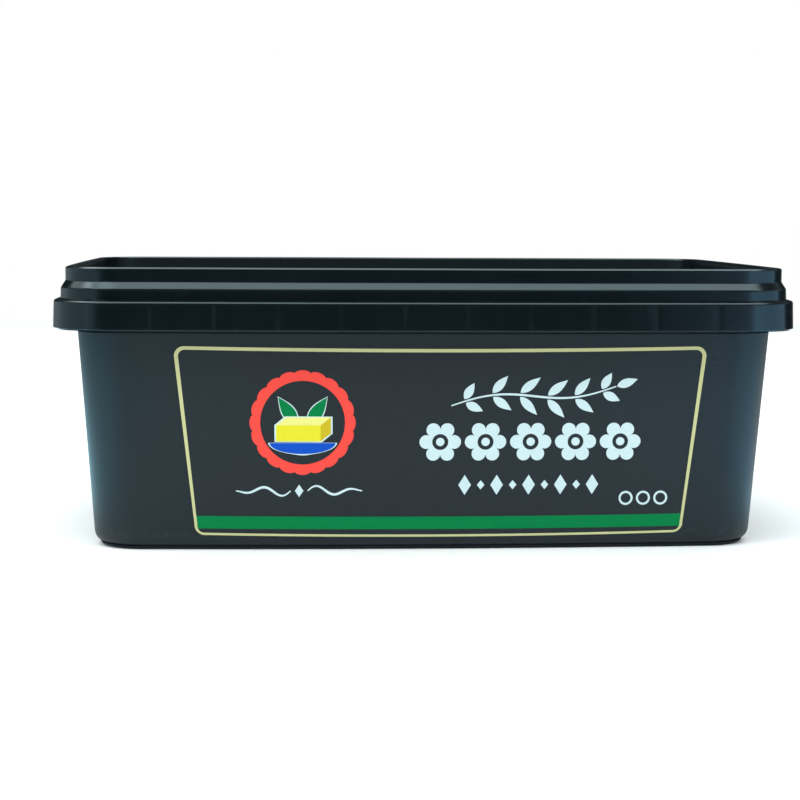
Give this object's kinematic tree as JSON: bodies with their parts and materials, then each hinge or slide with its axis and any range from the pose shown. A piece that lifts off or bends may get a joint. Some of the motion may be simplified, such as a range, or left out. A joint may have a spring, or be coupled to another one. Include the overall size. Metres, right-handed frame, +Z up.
{
  "type": "rectangular plastic butter tub",
  "caption": "Shut rectangular black plastic butter tub with a stepped press-on lid, a stacking rim and a printed front label.",
  "frame": {"origin": "on the ground, under the middle of the lid", "axes": "+X along the tub's length, to the right when facing the label; -Y out of the label; +Z up"},
  "size_m": [0.1774, 0.1224, 0.0667],
  "materials": {
    "tub_plastic": "satin black moulded polypropylene",
    "lid_plastic": "smooth black moulded polypropylene",
    "label_film": "black printed film with a pale gold line and a green band"
  },
  "bodies": {
    "root": {"tub": "tub_plastic", "lid": "lid_plastic", "front_label": "label_film"}
  },
  "joints": []
}
